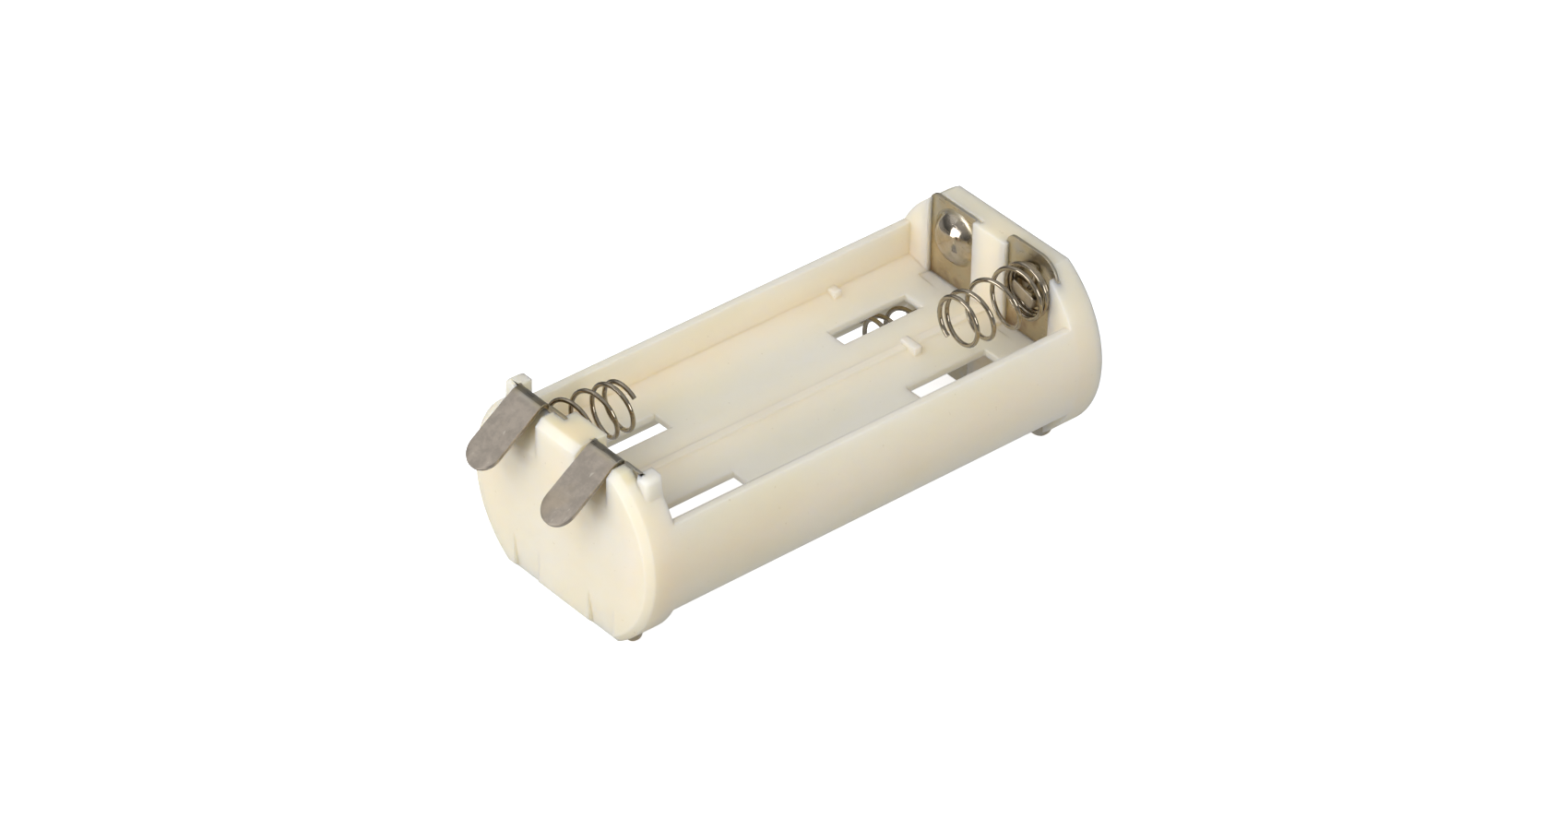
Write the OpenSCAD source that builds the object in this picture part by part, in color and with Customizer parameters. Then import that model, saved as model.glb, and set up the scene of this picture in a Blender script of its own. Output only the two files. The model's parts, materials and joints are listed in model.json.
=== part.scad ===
// Holder for four cylindrical cells, two side by side above a thin floor and two below it.
// The long axis runs along Y, the terminal tabs point towards -Y, and the holder stands on
// the lower ends of its contact plates, which lie in the plane z = 0.

/* [Cells] */
// Diameter of one cell
cell_d = 10.5; // [10:0.1:10.8]
// Length of one cell over its button
cell_len = 44.5; // [40:0.5:50]
// Distance between the axes of neighbouring cells
cell_pitch = 11.1; // [11:0.1:12]
// Room between the facing contact plates beyond the length of a cell
spring_room = 6.3; // [5.5:0.1:8]

/* [End walls] */
// Width of the end walls
end_w = 26.5; // [26:0.1:29]
// Height of the end walls between their flats
end_h = 19.3; // [18.5:0.1:21]
// Radius of the rounded sides of the end walls
end_r = 11.35; // [11:0.05:12.5]
// Thickness of the end walls outside the contact plates
end_t = 2.2; // [1.8:0.1:4]
// Thickness of the lips that hold the plates at the terminal end
near_lip_t = 1.15; // [0.8:0.05:1.8]
// Thickness of the lips that hold the plates at the linked end
far_lip_t = 0.6; // [0.5:0.05:1.8]
// Width of the window between the lips in front of each plate
window_w = 6.5; // [6.4:0.1:6.7]
// Chamfer round the outside of the terminal end
front_chamfer = 0.7; // [0.3:0.1:1.2]

/* [Ears] */
// Width of the two square ears on top of the terminal end
ear_w = 1.75; // [1:0.05:2.5]
// Length of the ears
ear_len = 2; // [1.4:0.1:2.6]
// Height of the ears below the top flat
ear_h = 3.2; // [2.5:0.1:4]

/* [Floor and side walls] */
// Thickness of the floor where the cells rest
floor_t = 0.7; // [0.5:0.1:1.2]
// Radius of the shallow trough under each cell
trough_r = 19.5; // [16:0.5:30]
// Width of the ridge between the troughs
ridge_w = 1; // [0.6:0.1:2]
// Height of the side walls
side_h = 9.9; // [8:0.1:11]
// Distance from the middle to the inner faces of the side walls
side_in = 11.3; // [11.1:0.05:11.4]
// Width of the slots through the floor
slot_w = 2.65; // [1.5:0.05:3.5]
// Length of the slots through the floor
slot_len = 9.95; // [5:0.05:12]
// Distance from the middle to the near end of a slot
slot_start = 10.7; // [8:0.1:12]
// Height of the cross ribs above the troughs' edges
rib_h = 0.45; // [0.2:0.05:0.8]
// Width of the cross ribs
rib_w = 2.2; // [1:0.1:3]
// Thickness of the cross ribs
rib_t = 0.9; // [0.5:0.1:1.5]
// Distance from the middle to the cross ribs
rib_y = 14.7; // [12:0.1:18]

/* [Recesses in the terminal end] */
// Width of the recess under the negative tab
neg_recess_w = 5.3; // [4.6:0.1:5.8]
// Width of the recess under the positive tab
pos_recess_w = 4.6; // [4.4:0.1:5.2]
// Room beside a tab on the left of its recess
recess_side = 0.3; // [0.2:0.1:0.8]
// Height of the recesses under the tabs
recess_h = 4.4; // [3:0.1:6]
// Distance from a cell axis to the left side of the shallow recess below it
foot_recess_in = 1.3; // [0.5:0.1:1.8]
// Width of the shallow recesses at the foot of the end
foot_recess_w = 3.7; // [2:0.1:4.5]
// Depth of the shallow recesses
foot_recess_d = 0.6; // [0.3:0.05:1]

/* [Contact plates] */
// Thickness of the sheet
plate_t = 0.35; // [0.25:0.05:0.5]
// Width of a plate behind one cell
plate_w = 7.3; // [6.9:0.1:7.8]
// Play between a plate and its slot, on each side
plate_play = 0.05; // [0.03:0.01:0.1]
// How far the plates stand out below the flats
plate_proud = 0.95; // [0.3:0.05:1.5]
// Gap between the floor and the inner ends of the short plates
plate_floor_gap = 0.4; // [0.2:0.1:1]
// Radius of the small plate corners
corner_r = 1.1; // [0.6:0.1:1.5]
// Radius of the lower corners of the bridge plate
bridge_corner_r = 2.2; // [1:0.1:3]
// Radius of the large outer corners at the spring ends
outer_corner_r = 2.6; // [1.5:0.1:3.2]
// Diameter of the pressed domes
dome_d = 5.6; // [4.5:0.1:5.9]
// Height of the pressed domes
dome_h = 1.4; // [0.8:0.1:1.8]

/* [Terminal tabs] */
// Width of a tab
tab_w = 4; // [2.5:0.1:4.4]
// Length of a tab from its bend to its rounded end
tab_len = 8.3; // [6:0.1:10]
// Sideways shift of a tab from the middle of its plate
tab_shift = 1; // [0:0.1:1.2]
// Width of the nick on each side of a tab at its foot
tab_relief = 0.12; // [0.05:0.01:0.2]
// Inner radius of the bend
tab_bend_r = 0.35; // [0.3:0.05:0.6]
// Slope of a tab below the horizontal, in degrees
tab_slope = 36; // [30:0.5:45]

/* [Springs] */
// Thickness of the spring wire
wire_d = 0.45; // [0.35:0.05:0.55]
// Free length of a spring
spring_len = 9.1; // [8:0.1:10]
// Radius of the free end, to the middle of the wire
spring_end_r = 2.4; // [2:0.1:2.7]
// Radius of the seated end, to the middle of the wire
spring_base_r = 2.75; // [2.6:0.05:2.8]
// Sideways distance from a cell axis to its spring
spring_out = 0.2; // [0:0.05:0.25]
// Distance of a spring beyond the cell axis, away from the floor
spring_up = 0.7; // [0.3:0.1:0.9]
// Width of the strap that holds the tail of a spring
strap_w = 1.2; // [0.8:0.1:1.2]
// Length of the strap
strap_len = 3; // [2.4:0.1:3]
// Distance from the middle of a spring to the middle of its strap, along and across
strap_off = 0.6; // [0.4:0.05:0.6]

/* [Hidden] */
$fn = 96;
over = 1;                                   // how far cutting shapes run past a face
half_h = end_h / 2;
axis_z = half_h + plate_proud;              // height of the long axis above the ground
arc_x = end_w / 2 - end_r;                  // centres of the rounded sides
cell_x = cell_pitch / 2;
floor_z = floor_t / 2;
cell_z = floor_z + cell_d / 2;              // cell axes, above and below the long axis
plate_y = (cell_len + spring_room) / 2;     // inner faces of the plates
slot_in = plate_y - plate_play;
slot_out = plate_y + plate_t + plate_play;
end_y = slot_out + end_t;
near_y = slot_in - near_lip_t;              // inner face of the terminal end
far_y = slot_in - far_lip_t;                // inner face of the linked end
trough_edge = trough_r - sqrt(trough_r * trough_r - pow(side_in - cell_x, 2));
ridge_z = floor_z + trough_edge;
window_in = cell_x - window_w / 2;
window_out = cell_x + window_w / 2;
plate_top = half_h - 2 * plate_play;                   // tops of the plates that end inside the flats
shoulder_top = half_h + plate_play;         // tops of the shoulders beside a tab
shoulder_r = plate_t;
tab_foot = half_h - plate_t;                   // where a tab starts to bend
dome_r = (dome_d * dome_d / 4 + dome_h * dome_h) / (2 * dome_h);
strap_rise = wire_d + 2 * plate_play;       // room under a strap
spring_gap = 0.04;                          // room between a plate and its spring
spring_x = cell_x + spring_out;
spring_z = cell_z + spring_up;
tab_reach = plate_y + plate_t + tab_bend_r + tab_len * cos(tab_slope)
            + (tab_bend_r + plate_t) * sin(tab_slope);
mid_y = (tab_reach - end_y) / 2;            // brings the middle of the part, with its tabs, to 0
strap_x = spring_x - strap_off;
strap_z = spring_z - strap_off;
body_colour = [0.93, 0.9, 0.82];
plate_colour = [0.68, 0.64, 0.55];
wire_colour = [0.6, 0.58, 0.54];

// Carries a shape drawn round the long axis and its middle to its place.
module placed() {
    translate([0, mid_y, axis_z]) children();
}

// A flat outline in X and Z, drawn out from y = low to y = high.
module along_y(low, high) {
    translate([0, high, 0]) rotate([90, 0, 0]) linear_extrude(high - low) children();
}

// The outline of the end walls: two arcs joined by flats.
module oval() {
    intersection() {
        union() {
            for (s = [-1, 1]) translate([s * arc_x, 0]) circle(end_r);
            square([2 * arc_x, end_h + over], center = true);
        }
        square([end_w + over, end_h], center = true);
    }
}

// The section between the ends: floor, ridge and side walls.
module middle_section() {
    difference() {
        intersection() {
            oval();
            square([end_w + over, side_h], center = true);
        }
        for (sx = [0, 1], sz = [0, 1])
            mirror([sx, 0]) mirror([0, sz]) bay_section();
        for (sz = [-1, 1])
            translate([0, sz * (ridge_z + end_h / 2)]) square([2 * ridge_w, end_h], center = true);
    }
}

// One cell's room in the section, with its shallow trough.
module bay_section() {
    intersection() {
        translate([cell_x, floor_z + trough_r]) circle(trough_r, $fn = 180);
        translate([ridge_w / 2, 0]) square([side_in - ridge_w / 2, end_h]);
    }
}

// The terminal end, with its outer edge chamfered.
module near_block() {
    difference() {
        intersection() {
            union() {
                for (s = [-1, 1]) translate([s * arc_x, -end_y, 0]) rotate([-90, 0, 0]) {
                    cylinder(front_chamfer, end_r - front_chamfer, end_r);
                    translate([0, 0, front_chamfer])
                        cylinder(end_y - near_y - front_chamfer, end_r, end_r);
                }
                translate([-arc_x, -end_y, -half_h - over / 2])
                    cube([2 * arc_x, end_y - near_y, end_h + over]);
            }
            cube([end_w + over, 3 * end_y, end_h], center = true);
        }
        for (sz = [-1, 1]) translate([0, -end_y, sz * half_h]) rotate([45, 0, 0])
            cube([2 * end_w, front_chamfer * sqrt(2), front_chamfer * sqrt(2)], center = true);
    }
}

// Square ears on the top corners of the terminal end.
module ears() {
    for (s = [-1, 1])
        translate([s * (window_out + ear_w / 2), -near_y - ear_len / 2, half_h - ear_h / 2])
            cube([ear_w, ear_len, ear_h], center = true);
}

// A wedge cut from the end face: full depth at height top, none at height foot.
module wedge(left, right, depth, top, foot) {
    translate([left, 0, 0]) rotate([90, 0, 90]) linear_extrude(right - left)
        polygon([[-end_y - over, foot], [-end_y, foot], [-end_y + depth, top],
                 [-end_y + depth, top + sign(top) * over], [-end_y - over, top + sign(top) * over]]);
}

// Recesses under the tabs, and the shallow ones at the foot of the end.
module recesses() {
    left = tab_shift + tab_w / 2 + recess_side;
    for (s = [-1, 1]) {
        width = s < 0 ? neg_recess_w : pos_recess_w;
        wedge(s * cell_x - left, s * cell_x - left + width,
              end_t + plate_play / 2, tab_foot, half_h - recess_h);
        wedge(s * cell_x - foot_recess_in, s * cell_x - foot_recess_in + foot_recess_w,
              foot_recess_d, -half_h, -half_h + recess_h);
    }
}

// Slots for the plates: the link plates pass the floor, the short ones stop at it.
module plate_slots() {
    slot_half = plate_w / 2 + plate_play;
    for (s = [-1, 1]) translate([s * cell_x - slot_half, slot_in, -half_h - over])
        cube([2 * slot_half, slot_out - slot_in, end_h + 2 * over]);
    for (s = [-1, 1]) translate([s * cell_x - slot_half, -slot_out, floor_z + plate_floor_gap / 2])
        cube([2 * slot_half, slot_out - slot_in, half_h]);
    translate([-cell_x - slot_half, -slot_out, -half_h - floor_z - plate_floor_gap / 2])
        cube([2 * (cell_x + slot_half), slot_out - slot_in, half_h]);
}

// Windows between the lips, above and below the floor.
module windows() {
    for (sx = [-1, 1], sz = [0, 1]) mirror([0, 0, sz]) {
        translate([sx * cell_x - window_w / 2, far_y - over, floor_z])
            cube([window_w, far_lip_t + over + plate_play, half_h + over]);
        translate([sx * cell_x - window_w / 2, -slot_in - plate_play, floor_z])
            cube([window_w, near_lip_t + over + plate_play, half_h + over]);
    }
}

// Slots through the floor under each cell.
module floor_slots() {
    for (sx = [-1, 1], sy = [-1, 1])
        translate([sx * (cell_x + 0.3), sy * (slot_start + slot_len / 2), 0])
            cube([slot_w, slot_len, end_h], center = true);
}

// Low cross ribs on the ridge and beside the side walls.
module ribs() {
    for (x = [-side_in, rib_w / 4, side_in])
        translate([x, rib_y, (ridge_z + rib_h) / 2]) cube([rib_w, rib_t, ridge_z + rib_h], center = true);
}

module holder_body() {
    color(body_colour) placed() difference() {
        union() {
            near_block();
            along_y(far_y, end_y) oval();
            difference() {
                along_y(-near_y - 0.01, far_y + 0.01) middle_section();
                floor_slots();
            }
            ribs();
            ears();
        }
        plate_slots();
        windows();
        recesses();
    }
}

// A plate outline in X and Z with its own radius at each corner:
// bottom left, bottom right, top right, top left.
module plate_outline(x0, x1, z0, z1, r) {
    corners = [[x0, z0, 1, 1], [x1, z0, -1, 1], [x1, z1, -1, -1], [x0, z1, 1, -1]];
    difference() {
        translate([x0, z0]) square([x1 - x0, z1 - z0]);
        for (i = [0 : 3]) translate([corners[i][0], corners[i][1]])
            scale_corner(corners[i][2], corners[i][3], r[i]);
    }
}

// What a rounded corner takes away, for a corner that opens towards sx and sz.
module scale_corner(sx, sz, r) {
    mirror([sx < 0 ? 1 : 0, 0]) mirror([0, sz < 0 ? 1 : 0]) difference() {
        translate([-over, -over]) square(r + over);
        translate([r, r]) circle(r);
    }
}

// A pressed dome that stands out towards -Y from a plate whose inner face is y = 0.
module dome() {
    intersection() {
        translate([0, dome_r - dome_h, 0]) difference() {
            sphere(dome_r);
            sphere(dome_r - plate_t);
        }
        translate([-dome_d, -dome_d, -dome_d]) cube([2 * dome_d, dome_d + plate_t, 2 * dome_d]);
    }
}

// The hole in the sheet that a dome fills.
module dome_hole() {
    translate([0, plate_t + over, 0]) rotate([90, 0, 0])
        cylinder(plate_t + 2 * over, dome_d / 2 - plate_t, dome_d / 2 - plate_t);
}

// A lanced strap, raised towards -Y over the tail of a spring.
module strap() {
    rise = strap_rise + plate_t;
    translate([-strap_len / 2, -rise, -strap_w / 2]) cube([strap_len, plate_t, strap_w]);
    for (s = [-1, 1]) translate([s * (strap_len - plate_t) / 2, -rise / 2 + plate_t / 2, 0])
        cube([plate_t, rise + plate_t, strap_w], center = true);
}

// The opening that the strap leaves in the sheet.
module strap_hole() {
    cube([strap_len - 2 * plate_t, 4 * plate_t, strap_w], center = true);
}

// A plate at the +Y end, inner face at y = plate_y, with domes and straps at given places.
module contact_plate(x0, x1, z0, z1, r, domes, straps) {
    difference() {
        along_y(plate_y, plate_y + plate_t) plate_outline(x0, x1, z0, z1, r);
        for (p = domes) translate([p[0], plate_y, p[1]]) dome_hole();
        for (p = straps) translate([p[0], plate_y, p[1]]) strap_hole();
    }
    for (p = domes) translate([p[0], plate_y, p[1]]) dome();
    for (p = straps) translate([p[0], plate_y, p[1]]) strap();
}

module link_plate_left() {
    x0 = -cell_x - plate_w / 2;
    color(plate_colour) placed()
        contact_plate(x0, x0 + plate_w, -axis_z, plate_top,
                      [outer_corner_r, corner_r, corner_r, corner_r],
                      [[-cell_x, cell_z]], [[-strap_x, -strap_z]]);
}

module link_plate_right() {
    x0 = cell_x - plate_w / 2;
    color(plate_colour) placed()
        contact_plate(x0, x0 + plate_w, -axis_z, axis_z,
                      [corner_r, outer_corner_r, outer_corner_r, corner_r],
                      [[cell_x, -cell_z]], [[strap_x, strap_z]]);
}

// The one plate under the floor at the terminal end.
module bridge_plate() {
    half = cell_x + plate_w / 2;
    color(plate_colour) placed() rotate([0, 0, 180])
        contact_plate(-half, half, -axis_z, -floor_z - plate_floor_gap,
                      [bridge_corner_r, bridge_corner_r, corner_r, corner_r],
                      [[cell_x, -cell_z]], [[-strap_x, -strap_z]]);
}

// The bent tab: its bend and its sloping tongue with a round end, bending towards +Y.
module tab() {
    translate([0, plate_y + plate_t + tab_bend_r, tab_foot]) {
        rotate([-tab_slope, 0, 0]) {
            rotate([90, 0, 90]) translate([0, 0, -tab_w / 2]) rotate([0, 0, 90])
                rotate_extrude(angle = 90 + tab_slope)
                    translate([tab_bend_r, 0]) square([plate_t, tab_w]);
            translate([0, 0, tab_bend_r]) linear_extrude(plate_t) {
                translate([-tab_w / 2, 0]) square([tab_w, tab_len - tab_w / 2]);
                translate([0, tab_len - tab_w / 2]) circle(tab_w / 2);
            }
        }
    }
}

// A terminal: a short plate with a dome or a strap, and its tab.
module terminal(x, domes, straps) {
    color(plate_colour) placed() rotate([0, 0, 180]) {
        difference() {
            contact_plate(-x - plate_w / 2, -x + plate_w / 2, floor_z + plate_floor_gap,
                          shoulder_top, [corner_r, corner_r, shoulder_r, shoulder_r], domes, straps);
            translate([-x + tab_shift, plate_y, tab_foot + half_h / 2])
                cube([tab_w + 2 * tab_relief, 4 * plate_t, half_h], center = true);
        }
        translate([-x + tab_shift, 0, 0]) tab();
    }
}

module negative_terminal() {
    terminal(-cell_x, [], [[strap_x, strap_z]]);
}

module positive_terminal() {
    terminal(cell_x, [[-cell_x, cell_z]], []);
}

// Spring wire path. t counts turns: the tail comes from under the strap and joins the seated
// coils, and the open turns climb to the closed free end.
turn_steps = 15;
turns = 5.6;
first_angle = 120;                          // where the tail runs into the first coil
seated = (wire_d + 0.05) / (spring_len - wire_d);   // rise of one closed turn
function climb(t) = lookup(t, [[0, 0], [1.5, 1.5 * seated], [1.9, 0.13], [3.75, 0.7],
                               [4.7, 1 - seated], [turns, 1]]);
function coil_r(t) = spring_base_r + (spring_end_r - spring_base_r) * min(1, t / 3.5);
tail_side = [for (z = [0.05, -0.11, -0.33, -0.51]) [strap_off, 0, z * spring_base_r]];
tail_foot = [for (p = [[0.16, -0.71], [0, -0.87], [-0.22, -0.95]])
             [p[0] * spring_base_r, 0, p[1] * spring_base_r]];
function coil_point(i) =
    let (t = i / turn_steps, a = first_angle + 360 * t)
    [coil_r(t) * cos(a), climb(t) * (spring_len - wire_d), -coil_r(t) * sin(a)];
function spring_path() = concat(tail_side, tail_foot,
                                [for (i = [0 : turns * turn_steps]) coil_point(i)]);
function unit(v) = v / norm(v);

// A tube of eight sides along a list of points.
module wire(path, d) {
    n = len(path);
    sides = 8;
    tangents = [for (i = [0 : n - 1]) unit(path[min(i + 1, n - 1)] - path[max(i - 1, 0)])];
    across = [for (t = tangents) unit(cross(t, [0, 1, 0]))];
    points = [for (i = [0 : n - 1], k = [0 : sides - 1])
        path[i] + d / 2 * (cos(360 * k / sides) * across[i]
                           + sin(360 * k / sides) * cross(tangents[i], across[i]))];
    walls = [for (i = [0 : n - 2], k = [0 : sides - 1])
        [i * sides + k, (i + 1) * sides + k, (i + 1) * sides + (k + 1) % sides, i * sides + (k + 1) % sides]];
    ends = [[for (k = [0 : sides - 1]) k], [for (k = [sides - 1 : -1 : 0]) (n - 1) * sides + k]];
    polyhedron(points, concat(walls, ends), convexity = 10);
}

// A spring on a plate at the near end, standing out towards +Y.
module near_spring(x, z) {
    color(wire_colour) placed() translate([x, -plate_y + spring_gap + wire_d / 2, z])
        rotate([0, z < 0 ? 180 : 0, 0]) wire(spring_path(), wire_d);
}

// A spring on a plate at the far end, standing out towards -Y.
module far_spring(x, z) {
    color(wire_colour) placed() translate([x, plate_y - spring_gap - wire_d / 2, z])
        rotate([0, z < 0 ? 180 : 0, 180]) wire(spring_path(), wire_d);
}

module spring_top_near() {
    near_spring(-spring_x, spring_z);
}

module spring_top_far() {
    far_spring(spring_x, spring_z);
}

module spring_bottom_near() {
    near_spring(spring_x, -spring_z);
}

module spring_bottom_far() {
    far_spring(-spring_x, -spring_z);
}

holder_body();
negative_terminal();
positive_terminal();
link_plate_left();
link_plate_right();
bridge_plate();
spring_top_near();
spring_top_far();
spring_bottom_near();
spring_bottom_far();
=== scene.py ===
import json
import math

import bmesh
import bpy
from bpy.props import FloatProperty, FloatVectorProperty, IntProperty, PointerProperty
from mathutils import Matrix, Vector


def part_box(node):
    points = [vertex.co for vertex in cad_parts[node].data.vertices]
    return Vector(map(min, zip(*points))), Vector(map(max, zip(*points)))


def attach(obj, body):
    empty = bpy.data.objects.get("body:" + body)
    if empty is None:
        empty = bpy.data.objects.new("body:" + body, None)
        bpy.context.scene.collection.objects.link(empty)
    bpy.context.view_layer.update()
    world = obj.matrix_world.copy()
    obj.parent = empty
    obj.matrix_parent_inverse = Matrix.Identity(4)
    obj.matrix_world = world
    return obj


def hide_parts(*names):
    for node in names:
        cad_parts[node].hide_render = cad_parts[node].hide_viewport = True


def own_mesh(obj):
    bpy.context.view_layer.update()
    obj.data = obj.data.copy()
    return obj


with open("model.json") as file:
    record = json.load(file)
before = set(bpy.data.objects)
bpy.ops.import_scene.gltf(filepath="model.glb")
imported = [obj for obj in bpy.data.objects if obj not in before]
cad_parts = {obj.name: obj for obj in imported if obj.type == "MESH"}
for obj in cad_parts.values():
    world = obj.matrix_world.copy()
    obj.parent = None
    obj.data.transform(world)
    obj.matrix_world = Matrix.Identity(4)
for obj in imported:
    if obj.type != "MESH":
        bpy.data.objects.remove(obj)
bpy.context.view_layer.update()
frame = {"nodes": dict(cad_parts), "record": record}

bl_info = {
    "name": "Cylindrical Cell Holder",
    "version": (1, 0, 0),
    "blender": (4, 5, 0),
    "location": "3D View > Sidebar > Cell Holder",
    "description": "Dresses a four-cell barrel holder: moulding, plates, springs and stage",
    "category": "Object",
}

MM = 0.001


def record_mount(name):
    """Place of one of the record's mounts, in metres."""
    for mount in frame["record"]["mounts"]:
        if mount["name"] == name:
            return Vector(mount["pos_m"])
    raise RuntimeError(f"the record has no mount named {name}")


AXIS = record_mount("barrel")                      # a point on the long axis, at mid-length
NEAR_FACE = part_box("holder_body")[0][1]            # the outer faces of the moulding's two ends
FAR_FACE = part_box("holder_body")[1][1]
PLATE_FACE = 25.4 * MM                             # from mid-length to the plates' inner faces
SHEET = 0.35 * MM                                  # thickness of the contact plates
TAB_FOOT = 9.3 * MM                                # above the axis: where a tab leaves its plate
BEND_LEVEL = 9.05 * MM                             # above the axis: the middle of a tab's bend
STRAP_TILT = math.radians(16)                      # how far a strap leans in its plate

EAR_SIDES = (8.75 * MM, 10.65 * MM)                # the ears lie between these across,
EAR_ENDS = (24.1 * MM, 26.3 * MM)                  # between these from mid-length
EAR_FOOT = 7.0 * MM                                # and higher than this above the axis

# In mm from the axis, across and up. The ends are 1 for the far one and -1 for the near one.
SEAT_ACROSS = 5.3
DOME_UP = 6.0
STRAP_UP = 5.65
DOME_SEATS = ((1, -SEAT_ACROSS, DOME_UP), (1, SEAT_ACROSS, -DOME_UP),
              (-1, SEAT_ACROSS, DOME_UP), (-1, -SEAT_ACROSS, -DOME_UP))
STRAP_SEATS = ((1, SEAT_ACROSS, STRAP_UP), (1, -SEAT_ACROSS, -STRAP_UP),
               (-1, -SEAT_ACROSS, STRAP_UP), (-1, SEAT_ACROSS, -STRAP_UP))
TABS = (("negative_terminal", "terminal_negative", -6.55 * MM),   # node, piece, place across
        ("positive_terminal", "terminal_positive", 4.55 * MM))
EJECTOR_RINGS = ((-7.9, 10.4), (6.8, 21.4), (-8.9, 24.7),         # mm across and along,
                 (7.9, -10.4), (-6.8, -21.4))                     # from the middle of the holder


# ---------------------------------------------------------------- settings

class MouldingSettings(bpy.types.PropertyGroup):
    """Looks of the nylon moulding."""

    edge_radius: FloatProperty(
        name="Edge radius", description="Rounding of the moulding's edges",
        default=0.22 * MM, min=0.02 * MM, max=0.4 * MM, unit="LENGTH")
    ear_radius: FloatProperty(
        name="Ear radius", description="Rounding of the two stop ears on the near end",
        default=0.5 * MM, min=0.1 * MM, max=0.7 * MM, unit="LENGTH")
    colour: FloatVectorProperty(
        name="Nylon", description="Colour of the natural nylon where it is thin",
        default=(0.92, 0.825, 0.69), size=3, min=0, max=1, subtype="COLOR")
    thick_colour: FloatVectorProperty(
        name="Thick nylon", description="Colour of the nylon where it is thick or shaded",
        default=(0.885, 0.755, 0.53), size=3, min=0, max=1, subtype="COLOR")


class PlateSettings(bpy.types.PropertyGroup):
    """Sizes and looks of the contact plates."""

    edge_radius: FloatProperty(
        name="Edge radius", description="Rounding of the sheet's cut edges",
        default=0.07 * MM, min=0.01 * MM, max=0.15 * MM, unit="LENGTH")
    tab_width: FloatProperty(
        name="Tab width", description="Width of a solder tab",
        default=4.0 * MM, min=3 * MM, max=4.1 * MM, unit="LENGTH")
    tab_run: FloatProperty(
        name="Tab run", description="Length of a tab past its bend",
        default=7.95 * MM, min=4 * MM, max=8 * MM, unit="LENGTH")
    tab_slope: FloatProperty(
        name="Tab slope", description="Slope of a tab below level",
        default=math.radians(36), min=0, max=math.radians(60), subtype="ANGLE")
    bend_radius: FloatProperty(
        name="Bend radius", description="Radius of a tab's bend at mid-thickness",
        default=0.7 * MM, min=0.5 * MM, max=0.8 * MM, unit="LENGTH")
    strap_length: FloatProperty(
        name="Strap length", description="Length of the strap that holds a spring's tail",
        default=3.9 * MM, min=3.2 * MM, max=4.2 * MM, unit="LENGTH")
    strap_width: FloatProperty(
        name="Strap width", description="Width of the strap that holds a spring's tail",
        default=1.45 * MM, min=1.25 * MM, max=1.8 * MM, unit="LENGTH")
    strap_rise: FloatProperty(
        name="Strap rise", description="Height of the strap over the plate",
        default=1.0 * MM, min=0.5 * MM, max=1.2 * MM, unit="LENGTH")
    dome_radius: FloatProperty(
        name="Dome radius", description="Radius of the pressed dome at its foot",
        default=2.8 * MM, min=2 * MM, max=3 * MM, unit="LENGTH")
    dome_height: FloatProperty(
        name="Dome height", description="Height of the pressed dome",
        default=1.4 * MM, min=0.5 * MM, max=1.5 * MM, unit="LENGTH")
    colour: FloatVectorProperty(
        name="Nickel", description="Colour of the nickel plating",
        default=(0.47, 0.415, 0.355), size=3, min=0, max=1, subtype="COLOR")
    # Partly painted reflection: besides the heat-tinted patches, this colour stands in for the
    # cream moulding seen in the inner plates.
    stain_and_reflection: FloatVectorProperty(
        name="Stain", description="Colour of the heat-tinted patches",
        default=(0.58, 0.475, 0.31), size=3, min=0, max=1, subtype="COLOR")


class SpringSettings(bpy.types.PropertyGroup):
    """Sizes and looks of the coil springs."""

    wire: FloatProperty(
        name="Wire", description="Thickness of the spring wire",
        default=0.48 * MM, min=0.3 * MM, max=0.5 * MM, unit="LENGTH")
    turn_points: IntProperty(
        name="Points a turn", description="Path points in one turn of a spring",
        default=36, min=12, max=72)
    colour: FloatVectorProperty(
        name="Wire colour", description="Colour of the plated wire",
        default=(0.42, 0.365, 0.285), size=3, min=0, max=1, subtype="COLOR")


class StageSettings(bpy.types.PropertyGroup):
    """Floor, light and camera."""

    floor: FloatVectorProperty(
        name="Floor", description="Colour of the floor",
        default=(1.0, 1.0, 1.0), size=3, min=0, max=1, subtype="COLOR")
    key: FloatProperty(
        name="Key light", description="Power of the soft lights, before each one's own share",
        default=0.106, min=0, max=50, unit="POWER")
    fill: FloatProperty(
        name="World light", description="Strength of the even light from all round",
        default=0.58, min=0, max=5)


# ---------------------------------------------------------------- materials

class Socket:
    """One output socket of a node. Arithmetic on it adds Math nodes."""

    def __init__(self, nodes, socket):
        self.nodes = nodes
        self.socket = socket

    def _math(self, operation, first, second=0.0):
        return self.nodes.node("ShaderNodeMath", {"operation": operation}, {0: first, 1: second})

    def __add__(self, other):
        return self._math("ADD", self, other)

    __radd__ = __add__

    def __sub__(self, other):
        return self._math("SUBTRACT", self, other)

    def __rsub__(self, other):
        return self._math("SUBTRACT", other, self)

    def __mul__(self, other):
        return self._math("MULTIPLY", self, other)

    __rmul__ = __mul__

    def __pow__(self, other):
        return self._math("POWER", self, other)

    def __rpow__(self, other):
        return self._math("POWER", other, self)

    def __abs__(self):
        return self._math("ABSOLUTE", self)

    def below(self, other):
        return self._math("MINIMUM", self, other)


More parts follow.
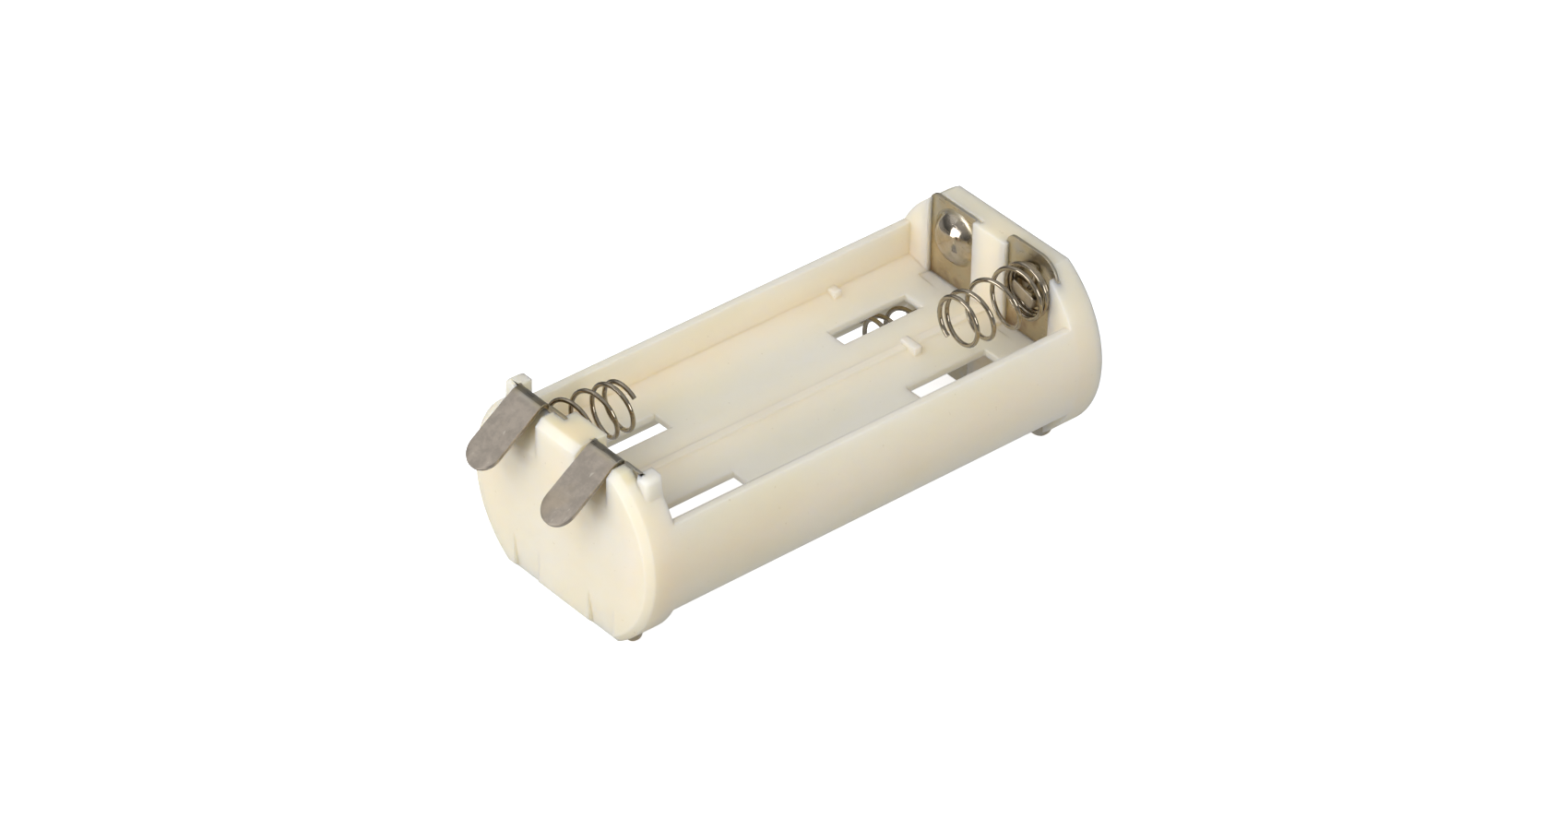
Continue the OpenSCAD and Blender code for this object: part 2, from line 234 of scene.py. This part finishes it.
class Nodes:
    """A node tree that is being wired up."""

    def __init__(self, tree):
        self.tree = tree

    def node(self, kind, settings, values, output=0):
        """Adds a node: first its settings, then the values or links of its sockets."""
        made = self.tree.nodes.new(kind)
        for key, value in settings.items():
            if key == "stops":
                self._stops(made.color_ramp, value)
            else:
                setattr(made, key, value)
        for key, value in values.items():
            if isinstance(value, Socket):
                self.tree.links.new(value.socket, made.inputs[key])
            else:
                made.inputs[key].default_value = value
        return Socket(self, made.outputs[output])

    @staticmethod
    def _stops(ramp, stops):
        """Sets a ramp's stops, given in rising order."""
        while len(ramp.elements) < len(stops):
            ramp.elements.new(1.0)
        for element, (at, colour) in zip(ramp.elements, stops):
            element.position = at
            element.color = (*colour, 1)

    def parts(self, vector):
        """The X, Y and Z of a vector."""
        split = self.node("ShaderNodeSeparateXYZ", {}, {0: vector})
        return [Socket(self, out) for out in split.socket.node.outputs]


class Finish(Nodes):
    """A material being built: its nodes, its Object coordinates and its surface shader."""

    def __init__(self, name, **constants):
        self.material = bpy.data.materials.new(name)
        self.material.use_nodes = True
        super().__init__(self.material.node_tree)
        self.shader = self.tree.nodes["Principled BSDF"]
        for socket, value in constants.items():
            self.shader.inputs[socket.replace("_", " ")].default_value = value
        self.place = self.node("ShaderNodeTexCoord", {}, {}, "Object")

    def noise(self, scale, detail=2.0, roughness=0.5, place=None):
        """Noise with features about 1 / scale metres across."""
        return self.node("ShaderNodeTexNoise", {}, {
            "Vector": place or self.place, "Scale": scale,
            "Detail": detail, "Roughness": roughness})

    def stretched(self, x, y, z):
        """Object coordinates, drawn out along an axis where its share is small."""
        return self.node("ShaderNodeMapping", {"vector_type": "POINT"},
                         {"Vector": self.place, "Scale": (x, y, z)})

    def ramp(self, value, low, high):
        """0 below low, 1 above high and smooth between."""
        return self.node("ShaderNodeMapRange", {"interpolation_type": "SMOOTHSTEP"},
                         {"Value": value, "From Min": low, "From Max": high})

    def mix(self, mask, first, second):
        """A colour between first and second."""
        first, second = (c if isinstance(c, Socket) else (*c, 1) for c in (first, second))
        return self.node("ShaderNodeMix", {"data_type": "RGBA"},
                         {0: mask, 6: first, 7: second}, 2)

    def bump(self, height, strength, distance, rounding=0.0):
        """Feeds the shader's normal from a height, over edges softened to a radius."""
        values = {"Height": height, "Strength": strength, "Distance": distance}
        if rounding:
            values["Normal"] = self.node("ShaderNodeBevel", {"samples": 6}, {"Radius": rounding})
        self.feed("Normal", self.node("ShaderNodeBump", {}, values))

    def feed(self, name, source):
        """Links a socket of the shader."""
        self.tree.links.new(source.socket, self.shader.inputs[name])


def natural_nylon(settings):
    """Translucent natural nylon: cloudy, warmer where it is thick, with painted shade in the
    pockets under the tabs and towards the bottom, and rings from the ejectors.
    """
    f = Finish("natural_nylon", Metallic=0.0, IOR=1.5, Subsurface_Weight=1.0,
               Subsurface_Radius=(1.0, 0.92, 0.72), Subsurface_Scale=3.0 * MM,
               Specular_IOR_Level=0.4)
    x, y, z = f.parts(f.place)
    cloud = f.ramp(f.noise(130, 3.0, 0.5, f.stretched(1, 0.45, 1)), 0.34, 0.68)
    depth = y - NEAR_FACE
    # Painted shade: the pockets under the tabs take the thick nylon's warmer, darker colour, for
    # the shade the tabs cast.
    pocket_shade = (f.ramp(depth, 0.3 * MM, 1.2 * MM) * (1 - f.ramp(depth, 4.0 * MM, 4.6 * MM))
              * (1 - f.ramp(abs(x), 8.3 * MM, 9.3 * MM)) * f.ramp(z - AXIS.z, 2 * MM, 5 * MM))
    far_end = f.ramp(y, FAR_FACE - 3.2 * MM, FAR_FACE - 2.6 * MM)
    # Painted shade: the nylon is warmer and darker towards the bottom of the holder.
    foot = 1 - f.ramp(z, 1.0 * MM, 7.0 * MM)
    warm = (0.42 * cloud + pocket_shade + 0.18 * far_end + 0.2 * foot).below(1.0)
    specks = f.ramp(f.noise(2300, 1.0, 0.5), 0.77, 0.80)
    nylon = f.mix(warm, settings.colour, settings.thick_colour)
    f.feed("Base Color", f.mix(specks * 0.4, nylon, (0.62, 0.50, 0.33)))
    f.feed("Roughness", 0.30 + 0.10 * f.noise(700, 2.0) + 0.10 * cloud)
    rings = 0.0
    for across, along_y in EJECTOR_RINGS:
        away = ((x - across * MM) ** 2 + (y - (AXIS.y + along_y * MM)) ** 2) ** 0.5
        rings = (rings + f.ramp(away, 0.55 * MM, 0.62 * MM)
                 - f.ramp(away, 0.66 * MM, 0.8 * MM))
    skin = f.noise(3200, 3.0, 0.6) * 0.6 + f.noise(420, 2.0, 0.5)
    f.bump(skin - rings * 1.2, 0.25, 0.03 * MM, 0.32 * MM)
    return f.material


def nickel_strip(settings, name="nickel_strip", rubbed=0.0):
    """Nickel-plated strip: greyer and scuffed on the outer tabs, warmer on the inner plates from
    heat-tinted stains and a painted reflection of the cream moulding; polished where it was
    pressed. Rubbed strip has lost a share of that warmth."""
    f = Finish(name, Metallic=1.0)
    x, y, z = f.parts(f.place)
    up = z - AXIS.z
    inside = f.ramp(y - NEAR_FACE, 0.9 * MM, 1.6 * MM)
    height = abs(up)
    away = ((abs(x) - SEAT_ACROSS * MM) ** 2 + (height - DOME_UP * MM) ** 2) ** 0.5
    spring_side = f.ramp(x * up * (y - AXIS.y), 0.0, 1e-9)
    pressed = inside * (1 - f.ramp(away, 2.3 * MM, 2.9 * MM)) * (1 - spring_side)
    patch = f.noise(330, 4.0, 0.55)
    mottle = f.ramp(f.noise(900, 4.0, 0.6), 0.36, 0.66)
    # Warmer colours of the inner plates: heat-tinted stains set by the noise, and painted
    # reflection of the cream moulding.
    warm_stains_and_reflection = f.node("ShaderNodeValToRGB", {"stops": (
        (0.28, (0.40, 0.29, 0.20)), (0.42, settings.stain_and_reflection),
        (0.56, (0.54, 0.47, 0.33)), (0.70, (0.52, 0.49, 0.43)))},
        {"Fac": patch * 0.8 + height * (0.2 / (9 * MM))})
    grey = f.mix(mottle * 0.8, settings.colour * 0.9, settings.colour * 1.3)
    grey = f.mix(f.ramp(f.noise(260, 3.0, 0.5), 0.5, 0.68) * 0.45, grey, (0.60, 0.50, 0.37))
    fleck = f.ramp(f.noise(1500, 2.0, 0.5, f.stretched(1.0, 0.35, 0.5)), 0.68, 0.74)
    grey = f.mix(fleck * 0.6, grey, (0.78, 0.73, 0.64))
    # Painted reflection, in part: only the inner plates, inside the cream moulding, get the warmer
    # colours; the tabs stay grey.
    f.feed("Base Color", f.mix(inside * (1 - 0.75 * pressed) * (1 - rubbed), grey, warm_stains_and_reflection))
    scratch = f.ramp(f.noise(700, 1.0, 0.4, f.stretched(1.0, 7.0, 7.0)), 0.66, 0.70)
    grain = f.noise(6000, 2.0, 0.6, f.stretched(1, 0.1, 0.1))
    f.feed("Roughness", (0.36 + 0.14 * mottle + 0.06 * grain - 0.10 * scratch - 0.08 * inside)
           * (1 - 0.62 * pressed))
    f.bump(grain * 0.5 + f.noise(620, 3.0, 0.5) * 2.6 - scratch * 0.8, 0.26, 0.02 * MM)
    return f.material


def spring_wire(settings):
    """Plated spring wire, drawn, with dull streaks."""
    f = Finish("spring_wire", Metallic=1.0)
    streak = f.noise(1500, 3.0, 0.6)
    f.feed("Base Color", f.mix(f.ramp(streak, 0.4, 0.7) * 0.5,
                               settings.colour, settings.colour * 0.62))
    f.feed("Roughness", 0.07 + 0.12 * streak)
    f.bump(streak, 0.1, 0.02 * MM)
    return f.material


# ---------------------------------------------------------------- mesh tools

def add_piece(name, mesh, material, body="holder"):
    """Links a finished mesh as a piece that rides on a body."""
    piece = bpy.data.objects.new(name, mesh)
    bpy.context.scene.collection.objects.link(piece)
    mesh.materials.clear()
    mesh.materials.append(material)
    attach(piece, body)
    return piece


def mesh_from(bm, name):
    """Writes a bmesh to a new mesh and frees it."""
    mesh = bpy.data.meshes.new(name)
    bm.to_mesh(mesh)
    bm.free()
    return mesh


# ---------------------------------------------------------------- moulding

def joined_copy(node, name):
    """A copy of a CAD node with its triangles joined into flat faces."""
    bm = bmesh.new()
    bm.from_mesh(frame["nodes"][node].data)
    bmesh.ops.remove_doubles(bm, verts=bm.verts, dist=0.002 * MM)
    bmesh.ops.dissolve_limit(bm, angle_limit=math.radians(0.6), verts=bm.verts, edges=bm.edges,
                             delimit=set())
    bmesh.ops.recalc_face_normals(bm, faces=bm.faces)
    for face in bm.faces:
        face.smooth = True
    return mesh_from(bm, name)


def round_edges(piece, width, segments, degrees):
    """Rounds every edge steeper than an angle."""
    bevel = piece.modifiers.new("Rounded edges", "BEVEL")
    bevel.width = width
    bevel.segments = segments
    bevel.limit_method = "ANGLE"
    bevel.angle_limit = math.radians(degrees)
    bevel.use_clamp_overlap = True
    even = piece.modifiers.new("Flat faces stay flat", "WEIGHTED_NORMAL")
    even.mode = "FACE_AREA"
    even.weight = 50


class OBJECT_OT_cell_holder_moulding(bpy.types.Operator):
    """Rounds the moulding's edges and gives it natural nylon"""

    bl_idname = "cell_holder.moulding"
    bl_label = "Moulding"

    def execute(self, context):
        settings = context.scene.cell_holder_moulding
        mesh = joined_copy("holder_body", "moulding")
        self.soften_ears(mesh, settings)
        piece = add_piece("moulding", mesh, natural_nylon(settings))
        round_edges(piece, settings.edge_radius, 3, 28)
        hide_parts("holder_body")
        return {"FINISHED"}

    def soften_ears(self, mesh, settings):
        """Gives the two stop ears on the near end their large rounding."""
        bm = bmesh.new()
        bm.from_mesh(mesh)

        def on_ear(co):
            out, up = AXIS.y - co.y, co.z - AXIS.z
            return (EAR_SIDES[0] < abs(co.x) < EAR_SIDES[1]
                    and EAR_ENDS[0] < out < EAR_ENDS[1] and up > EAR_FOOT)

        def outward(co):
            return (abs(co.x) > EAR_SIDES[1] - 0.15 * MM
                    or AXIS.y - co.y > EAR_ENDS[1] - 0.15 * MM)

        edges = [edge for edge in bm.edges
                 if all(on_ear(v.co) and outward(v.co) for v in edge.verts)
                 and len(edge.link_faces) == 2 and edge.is_convex
                 and edge.calc_face_angle(0) > math.radians(45)]
        if not edges:
            raise RuntimeError("the ears aren't where they are looked for")
        bmesh.ops.bevel(bm, geom=edges, offset=settings.ear_radius, offset_type="OFFSET",
                        segments=4, profile=0.5, affect="EDGES", clamp_overlap=False, material=-1)
        bmesh.ops.dissolve_degenerate(bm, dist=0.01 * MM, edges=bm.edges)
        for face in bm.faces:
            face.smooth = True
        bm.to_mesh(mesh)
        bm.free()


# ---------------------------------------------------------------- contact plates

class OBJECT_OT_cell_holder_plates(bpy.types.Operator):
    """Gives the plates and terminals rounded sheet edges and worn nickel"""

    bl_idname = "cell_holder.plates"
    bl_label = "Contact plates"

    def execute(self, context):
        settings = context.scene.cell_holder_plates
        material = nickel_strip(settings)
        for node, name in (("link_plate_left", "plate_left"),
                           ("link_plate_right", "plate_right"),
                           ("bridge_plate", "plate_bridge")):
            piece = add_piece(name, joined_copy(node, name), material)
            round_edges(piece, settings.edge_radius, 2, 32)
            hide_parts(node)
        for node, name, across in TABS:
            piece = add_piece(name, self.without_tab(node, name, across, settings), material)
            round_edges(piece, settings.edge_radius, 2, 32)
            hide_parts(node)
            tab = add_piece(name + "_tab", self.tab(name + "_tab", across, settings), material)
            sheet = tab.modifiers.new("Sheet", "SOLIDIFY")
            sheet.thickness = SHEET
            sheet.offset = 0
            sheet.use_even_offset = True
            round_edges(tab, settings.edge_radius, 2, 40)
        rubbed = nickel_strip(settings, "nickel_strip_rubbed", 0.7)
        for name, make, finish in (("pressed_domes", self.domes, material),
                                   ("wire_straps", self.straps, rubbed)):
            piece = add_piece(name, make(settings), finish)
        return {"FINISHED"}

    def without_tab(self, node, name, across, settings):
        """A terminal's plate, closed off where its tab starts."""
        mesh = joined_copy(node, name)
        bm = bmesh.new()
        bm.from_mesh(mesh)
        half = settings.tab_width / 2 + 0.01 * MM
        foot = AXIS.z + TAB_FOOT - 0.005 * MM
        tab = [face for face in bm.faces
               if all(abs(v.co.x - across) < half and v.co.z > foot for v in face.verts)]
        if not tab:
            raise RuntimeError(f"{node} has no tab where it is looked for")
        bmesh.ops.delete(bm, geom=tab, context="FACES")
        open_edges = [edge for edge in bm.edges if edge.is_boundary]
        bmesh.ops.holes_fill(bm, edges=open_edges, sides=0)
        bmesh.ops.recalc_face_normals(bm, faces=bm.faces)
        bm.to_mesh(mesh)
        bm.free()
        return mesh

    def tab(self, name, across, settings):
        """A solder tab: up out of the plate, round a bend and down outside the moulding."""
        slope, radius = settings.tab_slope, settings.bend_radius
        turn = math.pi / 2 + slope
        start = math.asin((TAB_FOOT - 0.03 * MM - BEND_LEVEL) / radius)
        centre = PLATE_FACE + SHEET / 2 + radius
        arc = radius * (turn - start)
        run = settings.tab_run
        half = settings.tab_width / 2
        straight = run - half
        bend_rows, flat_rows, rows = 20, 31, 50
        bm = bmesh.new()
        bmesh.ops.create_grid(bm, x_segments=4, y_segments=rows, size=1)
        for vert in bm.verts:
            row, v = rows * (vert.co.y + 1) / 2, vert.co.x
            width = half
            if row < bend_rows:
                travel = arc * row / bend_rows
            elif row < flat_rows:
                travel = arc + straight * (row - bend_rows) / (flat_rows - bend_rows)
            else:
                end = math.radians(90 * min(1.0, (row - flat_rows) / (rows - flat_rows)))
                travel = arc + straight + half * math.sin(end)
                width = half * math.cos(end)
            if travel < arc:
                angle = start + travel / radius
                out = centre - radius * math.cos(angle)
                up = BEND_LEVEL + radius * math.sin(angle)
            else:
                out = centre - radius * math.cos(turn) + (travel - arc) * math.cos(slope)
                up = BEND_LEVEL + radius * math.sin(turn) - (travel - arc) * math.sin(slope)
                up += 0.05 * MM * math.sin(math.pi * (travel - arc) / run)
            vert.co = (across + v * width, AXIS.y - out, AXIS.z + up)
        bmesh.ops.remove_doubles(bm, verts=bm.verts, dist=0.001 * MM)
        bmesh.ops.recalc_face_normals(bm, faces=bm.faces)
        for face in bm.faces:
            face.smooth = True
        return mesh_from(bm, name)

    def straps(self, settings):
        """The rounded straps over the tails of the springs."""
        bm = bmesh.new()
        length, width = settings.strap_length / 2, settings.strap_width / 2
        step, crown, sheet = 0.42 * MM, 0.04 * MM, 0.12 * MM
        for end, x, z in STRAP_SEATS:
            grid = bmesh.ops.create_grid(bm, x_segments=28, y_segments=8, size=1)["verts"]
            for vert in grid:
                u, v = math.sin(vert.co.x * math.pi / 2), vert.co.y
                along_x = u * length
                past = abs(along_x) - (length - width)
                wide = width if past <= 0 else math.sqrt(max(0.0, width * width - past * past))
                wide = max(wide, 0.03 * MM)
                ramp = min(1.0, (length - abs(along_x)) / step)
                lift = settings.strap_rise * (3 * ramp ** 2 - 2 * ramp ** 3) - crown * v * v
                across = along_x * math.cos(STRAP_TILT) + v * wide * math.sin(STRAP_TILT)
                rise = v * wide * math.cos(STRAP_TILT) - along_x * math.sin(STRAP_TILT)
                vert.co = (x * MM + across, AXIS.y + end * (PLATE_FACE - lift),
                           AXIS.z + z * MM + rise)
            faces = {face for vert in grid for face in vert.link_faces}
            bmesh.ops.recalc_face_normals(bm, faces=list(faces))
            bmesh.ops.solidify(bm, geom=list(faces), thickness=sheet)
        for face in bm.faces:
            face.smooth = True
        bmesh.ops.recalc_face_normals(bm, faces=bm.faces)
        return mesh_from(bm, "wire_straps")

    def domes(self, settings):
        """The smooth pressed domes, spun from one profile, on the four seats of the buttons."""
        bm = bmesh.new()
        rise, foot = settings.dome_height, settings.dome_radius
        ball = (foot * foot + rise * rise) / (2 * rise)
        brim, reach = 0.91 * foot, 0.18 * foot          # where the ball ends, how far it flares
        proud, lip, root = 0.03 * MM, 0.015 * MM, 0.1 * MM
        profile = []
        for i in range(19):
            across = brim * i / 18
            level = math.sqrt(ball * ball - across * across) - ball + rise + proud
            profile.append((across, level))
        slope = -brim / math.sqrt(ball * ball - brim * brim) * reach
        for i in range(1, 9):
            t = i / 8
            profile.append((brim + reach * t, (2 * t ** 3 - 3 * t * t + 1) * (level - lip)
                            + (t ** 3 - 2 * t * t + t) * slope + lip))
        profile += [(brim + reach, -root), (0, -root)]
        for end, x, z in DOME_SEATS:
            seat = AXIS + Vector((x * MM, end * PLATE_FACE, z * MM))
            edges = []
            last = None
            for across, height in profile:
                point = bm.verts.new(seat + Vector((across, -end * height, 0)))
                if last is not None:
                    edges.append(bm.edges.new((last, point)))
                last = point
            bmesh.ops.spin(bm, geom=edges, cent=seat, axis=(0, 1, 0), angle=2 * math.pi,
                           steps=72, use_merge=True)
        bmesh.ops.remove_doubles(bm, verts=bm.verts, dist=0.0005 * MM)
        bmesh.ops.recalc_face_normals(bm, faces=bm.faces)
        for face in bm.faces:
            face.smooth = True
        return mesh_from(bm, "pressed_domes")


# ---------------------------------------------------------------- springs

SEAT_OUT = 25.12   # mm from mid-length to the wire of a seated coil

# Each row: turns from the free end, then in mm the distance from mid-length, the coil's centre
# across and up from the axis, and its radius.
SPRINGS = {
    "top_far": {
        "end": 1, "angle": 205.7, "sense": 1, "turns": 6.45, "lean": 0.0, "strap": (5.3, 5.7),
        "rows": [(-0.3, (15.6, 5.68, 6.4, 2.5)), (0, (15.75, 5.68, 6.4, 2.5)),
                 (1, (16.4, 5.74, 6.38, 2.6)), (2, (18.9, 5.79, 6.35, 2.72)),
                 (3, (22.3, 5.85, 6.33, 2.83)), (3.7, (23.85, 6.02, 6.5, 2.82)),
                 (4.1, (24.15, 6.15, 6.62, 2.8)), (6.6, (25.12, 6.2, 6.68, 2.35))],
    },
    "top_near": {
        "end": -1, "angle": 46.0, "sense": -1, "turns": 5.45, "lean": 0.2, "strap": (-5.3, 5.7),
        "rows": [(-0.3, (15.6, -5.45, 4.85, 2.4)), (0, (15.85, -5.45, 4.85, 2.4)),
                 (1.13, (17.05, -5.48, 4.95, 2.53)), (2.13, (19.35, -5.52, 5.08, 2.62)),
                 (3.13, (22.2, -5.58, 5.25, 2.64)), (3.85, (24.1, -5.64, 5.38, 2.65)),
                 (4.2, (24.6, -5.65, 5.45, 2.64)), (5.6, (25.12, -5.65, 5.7, 2.6))],
    },
    "bottom_far": {
        "end": 1, "angle": 300.0, "sense": 1, "turns": 5.45, "lean": 0.0, "strap": (-5.3, -5.7),
        "rows": [(-0.3, (17.0, -7.6, -3.85, 2.35)), (0, (17.2, -7.6, -3.85, 2.35)),
                 (1, (18.0, -7.45, -4.05, 2.42)), (2, (20.9, -7.3, -4.25, 2.5)),
                 (3, (23.1, -6.6, -5.3, 2.6)), (3.7, (24.35, -6.1, -5.9, 2.6)),
                 (4.1, (24.6, -5.9, -6.2, 2.6)), (5.6, (25.12, -5.8, -6.4, 2.45))],
    },
    "bottom_near": {
        "end": -1, "angle": 120.0, "sense": -1, "turns": 5.45, "lean": 0.0, "strap": (5.3, -5.7),
        "rows": [(-0.3, (16.2, 5.6, -5.9, 2.4)), (0, (16.4, 5.6, -5.9, 2.4)),
                 (1, (17.1, 5.62, -5.95, 2.5)), (2, (19.4, 5.66, -6.0, 2.6)),
                 (3, (22.2, 5.7, -6.05, 2.64)), (3.8, (24.15, 5.72, -6.1, 2.65)),
                 (4.2, (24.6, 5.74, -6.12, 2.64)), (5.6, (25.12, 5.75, -6.2, 2.55))],
    },
}


def along(table, s):
    """Values of a table of (turns, values) at s turns, eased over the steps between its rows."""
    total = [0.0] * len(table[0][1])
    offsets = (-0.2, -0.1, 0.0, 0.1, 0.2)
    for offset in offsets:
        q = min(max(s + offset, table[0][0]), table[-1][0])
        for (s0, low), (s1, high) in zip(table, table[1:]):
            if q <= s1 + 1e-9:
                share = (q - s0) / (s1 - s0)
                for i, (u, v) in enumerate(zip(low, high)):
                    total[i] += (u + (v - u) * share) / len(offsets)
                break
    return total


def coil_path(spring, turn_points):
    """Points of a coil's centre line, from its free end to its seat under the strap."""
    points = []
    for i in range(int(spring["turns"] * turn_points) + 1):
        s = i / turn_points
        out, x, z, radius = along(spring["rows"], s)
        a = math.radians(spring["angle"] + spring["sense"] * 360 * s)
        lean = spring["lean"] * math.cos(a) * max(0.0, 1 - s / 4)
        points.append(AXIS + MM * Vector((
            x + radius * math.sin(a),
            spring["end"] * (out + lean),
            z + radius * math.cos(a))))
    return points


def coil_tail(points, spring):
    """The last bit of wire: from the seated coil across to the strap."""
    last, before = points[-1], points[-2]
    strap = AXIS + MM * Vector((spring["strap"][0], spring["end"] * SEAT_OUT, spring["strap"][1]))
    heading = (last - before).normalized()
    tail = []
    for i in range(1, 13):
        u = i / 12
        straight = last.lerp(strap, u)
        tail.append(straight + heading * (1.6 * MM * u * (1 - u)))
    return tail


def wire_mesh(points, wire, name):
    """A round wire along points, as a mesh."""
    curve = bpy.data.curves.new(name, "CURVE")
    curve.dimensions = "3D"
    curve.bevel_depth = wire / 2
    curve.bevel_resolution = 4
    curve.use_fill_caps = True
    spline = curve.splines.new("POLY")
    spline.points.add(len(points) - 1)
    for point, place in zip(spline.points, points):
        point.co = (*place, 1)
    drawn = bpy.data.objects.new(name, curve)
    bpy.context.scene.collection.objects.link(drawn)
    bpy.context.view_layer.update()
    depsgraph = bpy.context.evaluated_depsgraph_get()
    mesh = bpy.data.meshes.new_from_object(drawn.evaluated_get(depsgraph))
    bpy.data.objects.remove(drawn)
    bpy.data.curves.remove(curve)
    for polygon in mesh.polygons:
        polygon.use_smooth = True
    mesh.name = name
    return mesh


class OBJECT_OT_cell_holder_springs(bpy.types.Operator):
    """Winds the four coil springs"""

    bl_idname = "cell_holder.springs"
    bl_label = "Springs"

    def execute(self, context):
        settings = context.scene.cell_holder_springs
        material = spring_wire(settings)
        for name, spring in SPRINGS.items():
            path = coil_path(spring, settings.turn_points)
            path += coil_tail(path, spring)
            mesh = wire_mesh(path, settings.wire, "coil_" + name)
            piece = add_piece("coil_" + name, mesh, material)
            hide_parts("spring_" + name)
            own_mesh(piece)
        return {"FINISHED"}


# ---------------------------------------------------------------- stage

SKY = ((0.0, 0.8), (0.43, 0.6), (0.5, 0.16), (0.8, 0.72), (1.0, 1.0))   # height and grey
LAMPS = (   # name, place and size in metres, share of the key setting
    ("key", (0.10, -0.45, 0.42), 0.30, 15.0),
    ("front", (-0.10, -0.58, 0.08), 0.30, 18.0),
    ("side", (0.55, 0.05, 0.18), 0.25, 9.5),
    ("fill", (-0.36, -0.24, 0.42), 0.45, 2.5),
)


def aim(place, target):
    """A turned frame at place whose -Z axis looks at target."""
    return Matrix.LocRotScale(place, (target - place).to_track_quat("-Z", "Y"), None)


class OBJECT_OT_cell_holder_stage(bpy.types.Operator):
    """Sets the camera, the floor and the soft lights"""

    bl_idname = "cell_holder.stage"
    bl_label = "Stage"

    def execute(self, context):
        settings = context.scene.cell_holder_stage
        scene = context.scene
        scene.view_settings.view_transform = "Standard"
        self.camera(scene)
        self.floor(scene, settings)
        self.lights(scene, settings)
        return {"FINISHED"}

    def camera(self, scene):
        """A long lens, looking down on the holder from its terminal end."""
        azimuth, elevation, roll = map(math.radians, (49.1806, 36.2071, -1.2154))
        ahead = Vector((-math.sin(azimuth) * math.cos(elevation),
                        math.cos(azimuth) * math.cos(elevation), -math.sin(elevation)))
        right = Vector((math.cos(azimuth), math.sin(azimuth), 0))
        up = right.cross(ahead)
        turned = math.cos(roll) * right - math.sin(roll) * up
        upright = math.sin(roll) * right + math.cos(roll) * up
        aside, below, away = 0.542 * MM, 0.457 * MM, 692.5 * MM
        place = AXIS - aside * turned - below * upright - away * ahead
        matrix = Matrix((turned, upright, -ahead)).transposed().to_4x4()
        matrix.translation = place
        lens = bpy.data.cameras.new("camera")
        lens.lens = 167.47
        lens.sensor_width = 36
        lens.clip_start = 0.01
        camera = bpy.data.objects.new("camera", lens)
        camera.matrix_world = matrix
        scene.collection.objects.link(camera)
        scene.camera = camera

    def floor(self, scene, settings):
        """A wide pale floor, seen by the camera but not in reflections or bounced light."""
        bm = bmesh.new()
        bmesh.ops.create_grid(bm, x_segments=2, y_segments=2, size=3)
        mesh = mesh_from(bm, "floor")
        floor = bpy.data.objects.new("floor", mesh)
        scene.collection.objects.link(floor)
        f = Finish("floor_white", Roughness=0.9, Specular_IOR_Level=0.0,
                   Base_Color=(*settings.floor, 1), Emission_Color=(*settings.floor, 1),
                   Emission_Strength=0.75)
        mesh.materials.append(f.material)
        floor.visible_diffuse = False
        floor.visible_glossy = False
        floor.visible_transmission = False

    def lights(self, scene, settings):
        """A grey sky that is dim at the horizon, and four soft lamps aimed at the holder."""
        world = bpy.data.worlds.new("soft_world")
        scene.world = world
        world.use_nodes = True
        sky = Nodes(world.node_tree)
        direction = sky.node("ShaderNodeTexCoord", {}, {}, "Generated")
        stops = [(at, (grey, grey, grey)) for at, grey in SKY]
        glow = sky.node("ShaderNodeValToRGB", {"stops": stops},
                        {"Fac": sky.parts(direction)[2] * 0.5 + 0.5})
        background = sky.tree.nodes["Background"]
        sky.tree.links.new(glow.socket, background.inputs["Color"])
        background.inputs["Strength"].default_value = settings.fill
        for name, place, size, share in LAMPS:
            lamp = bpy.data.lights.new(name, "AREA")
            lamp.size = size
            lamp.energy = settings.key * share
            lit = bpy.data.objects.new(name, lamp)
            lit.matrix_world = aim(Vector(place), AXIS)
            lit.visible_glossy = name != "key"
            scene.collection.objects.link(lit)


class VIEW3D_PT_cell_holder(bpy.types.Panel):
    """Buttons and settings of the cell holder"""

    bl_label = "Cell Holder"
    bl_idname = "VIEW3D_PT_cell_holder"
    bl_space_type = "VIEW_3D"
    bl_region_type = "UI"
    bl_category = "Cell Holder"

    def draw(self, context):
        for operator, settings, _ in STEPS:
            box = self.layout.box()
            box.operator(operator.bl_idname)
            group = getattr(context.scene, settings)
            for key in group.__annotations__:
                box.prop(group, key)


STEPS = (   # an operator, the name of its settings on the scene, and their group
    (OBJECT_OT_cell_holder_moulding, "cell_holder_moulding", MouldingSettings),
    (OBJECT_OT_cell_holder_plates, "cell_holder_plates", PlateSettings),
    (OBJECT_OT_cell_holder_springs, "cell_holder_springs", SpringSettings),
    (OBJECT_OT_cell_holder_stage, "cell_holder_stage", StageSettings),
)


def register():
    for operator, settings, group in STEPS:
        bpy.utils.register_class(group)
        setattr(bpy.types.Scene, settings, PointerProperty(type=group))
        bpy.utils.register_class(operator)
    bpy.utils.register_class(VIEW3D_PT_cell_holder)


def unregister():
    bpy.utils.unregister_class(VIEW3D_PT_cell_holder)
    for operator, settings, group in reversed(STEPS):
        bpy.utils.unregister_class(operator)
        delattr(bpy.types.Scene, settings)
        bpy.utils.unregister_class(group)


def main():
    register()
    bpy.ops.cell_holder.moulding()
    bpy.ops.cell_holder.plates()
    bpy.ops.cell_holder.springs()
    bpy.ops.cell_holder.stage()
    bpy.context.view_layer.update()


if __name__ == "__main__":
    main()
